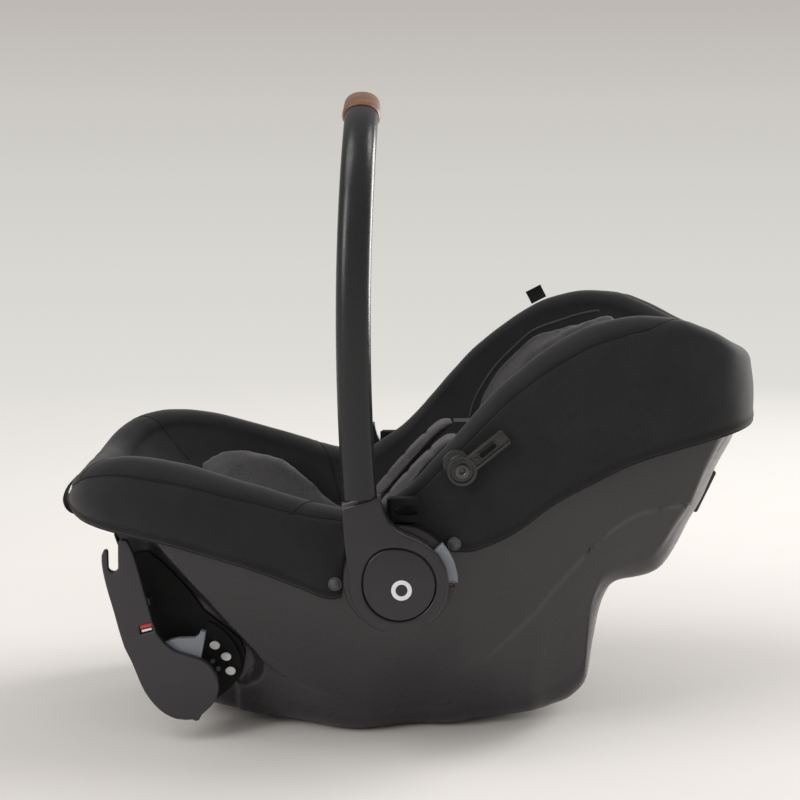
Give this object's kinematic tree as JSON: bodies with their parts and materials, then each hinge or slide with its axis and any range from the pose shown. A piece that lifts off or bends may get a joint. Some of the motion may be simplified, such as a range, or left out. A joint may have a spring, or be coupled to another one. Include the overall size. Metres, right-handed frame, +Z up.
{
  "type": "infant car seat",
  "caption": "Rear-facing infant carrier: padded bucket on a rocker shell, with a folding carry handle, sliding headrest, harness, canopy arms and base latches.",
  "frame": {"origin": "on the floor at the flat middle of the rocker, straight below the handle axis, at the middle of the width", "axes": "+X from the feet to the head end, +Y across to the left, +Z up"},
  "size_m": [0.666, 0.4426, 0.5963],
  "materials": {
    "shell_plastic": "satin, finely textured, warm dark grey",
    "bucket_plastic": "matte",
    "foam": "white expanded foam",
    "cover_cloth": "black melange knit",
    "insert_cloth": "soft grey melange knit",
    "pad_cloth": "dark grey knit",
    "plate_plastic": "satin",
    "steel": "zinc plated",
    "red_plastic": "satin",
    "black_plastic": "satin",
    "white_plastic": "satin",
    "grey_plastic": "satin blue-grey",
    "handle_plastic": "satin black",
    "cap_plastic": "satin black",
    "leather": "brown, stitched along the underside",
    "arm_metal": "black paint",
    "webbing": "black woven webbing"
  },
  "bodies": {
    "seat": {"outer_shell": "shell_plastic", "seat_bucket": "bucket_plastic", "foam_liner": "foam", "seat_posts": "bucket_plastic", "post_screws": "steel", "seat_cover": "cover_cloth", "body_insert": "insert_cloth", "front_plate_left": "plate_plastic", "front_plate_right": "plate_plastic", "cross_tubes": "steel", "plate_studs": "steel", "lock_indicators": "red_plastic", "index_rings": "black_plastic", "index_dots": "white_plastic", "pawl_springs": "steel", "release_bezel": "black_plastic", "release_pin": "steel", "release_cable": "black_plastic", "hub_base_left": "shell_plastic", "hub_base_right": "shell_plastic", "lock_gears": "steel", "hub_pins": "steel", "belt_guide_left": "black_plastic", "belt_guide_right": "black_plastic", "cover_studs": "black_plastic", "label_tab": "webbing", "canopy_mount_left": "black_plastic", "canopy_mount_right": "black_plastic", "headrest_rail": "black_plastic", "hip_straps": "webbing", "lap_straps": "webbing", "crotch_strap": "webbing", "crotch_pad": "pad_cloth", "buckle_body": "black_plastic", "buckle_tongues": "steel", "adjuster_body": "black_plastic", "adjuster_strap": "webbing"},
    "handle": {"handle_tube": "handle_plastic", "handle_grip": "leather", "handle_leg_left": "handle_plastic", "handle_leg_right": "handle_plastic", "hub_caps": "cap_plastic", "hub_badges": "white_plastic", "button_springs": "steel"},
    "headrest": {"headrest_shell": "black_plastic", "headrest_pad": "insert_cloth", "shoulder_straps": "webbing", "shoulder_pads": "pad_cloth"},
    "latch_pawls": {"latch_pawl_left": "grey_plastic", "latch_pawl_right": "grey_plastic", "pawl_shaft": "steel"},
    "handle_button_left": {"handle_button_left": "grey_plastic"},
    "handle_button_right": {"handle_button_right": "grey_plastic"},
    "canopy_arm_left": {"canopy_arm_left": "arm_metal"},
    "canopy_arm_right": {"canopy_arm_right": "arm_metal"},
    "headrest_lever": {"headrest_lever": "grey_plastic"},
    "buckle_button": {"buckle_button": "red_plastic"},
    "adjuster_button": {"adjuster_button": "grey_plastic"},
    "release_lever": {"release_lever": "grey_plastic"}
  },
  "joints": [
    {"name": "handle_fold", "type": "hinge", "parent": "seat", "child": "handle", "pos_m": [0, 0, 0.166], "axis": [0, 1, 0], "range_deg": [0, 110]},
    {"name": "handle_button_left_press", "type": "slide", "parent": "handle", "child": "handle_button_left", "axis": [-0.9336, 0, -0.3584], "range_m": [0, 0.004], "stiffness_N_per_m": 600, "springref_m": -0.001},
    {"name": "handle_button_right_press", "type": "slide", "parent": "handle", "child": "handle_button_right", "axis": [-0.9336, 0, -0.3584], "range_m": [0, 0.004], "stiffness_N_per_m": 600, "springref_m": -0.001},
    {"name": "canopy_arm_left_turn", "type": "hinge", "parent": "seat", "child": "canopy_arm_left", "pos_m": [0.056, 0, 0.261], "axis": [0, 1, 0], "range_deg": [-60, 30]},
    {"name": "canopy_arm_right_turn", "type": "hinge", "parent": "seat", "child": "canopy_arm_right", "pos_m": [0.056, 0, 0.261], "axis": [0, 1, 0], "range_deg": [-60, 30]},
    {"name": "headrest_slide", "type": "slide", "parent": "seat", "child": "headrest", "axis": [0.7362, 0, 0.6768], "range_m": [0, 0.06]},
    {"name": "headrest_lever_pull", "type": "slide", "parent": "headrest", "child": "headrest_lever", "axis": [0.7362, 0, 0.6768], "range_m": [0, 0.006], "stiffness_N_per_m": 400, "springref_m": -0.001},
    {"name": "buckle_button_press", "type": "slide", "parent": "seat", "child": "buckle_button", "axis": [0.5, 0, -0.866], "range_m": [0, 0.003], "stiffness_N_per_m": 800, "springref_m": -0.001},
    {"name": "adjuster_button_press", "type": "slide", "parent": "seat", "child": "adjuster_button", "axis": [-0.6269, 0, -0.7791], "range_m": [0, 0.003], "stiffness_N_per_m": 600, "springref_m": -0.001},
    {"name": "latch_pawls_turn", "type": "hinge", "parent": "seat", "child": "latch_pawls", "pos_m": [-0.1975, 0, 0.05644], "axis": [0, 1, 0], "range_deg": [0, 25], "stiffness_Nm_per_rad": 0.8, "springref_deg": -8.59},
    {"name": "release_lever_squeeze", "type": "hinge", "parent": "seat", "child": "release_lever", "pos_m": [0.30183, 0, 0.23069], "axis": [0, 1, 0], "range_deg": [0, 15], "stiffness_Nm_per_rad": 0.2, "springref_deg": -5.73}
  ],
  "couplings": [
    {"joint": "release_lever_squeeze", "follows": "latch_pawls_turn", "ratio": 0.6}
  ]
}
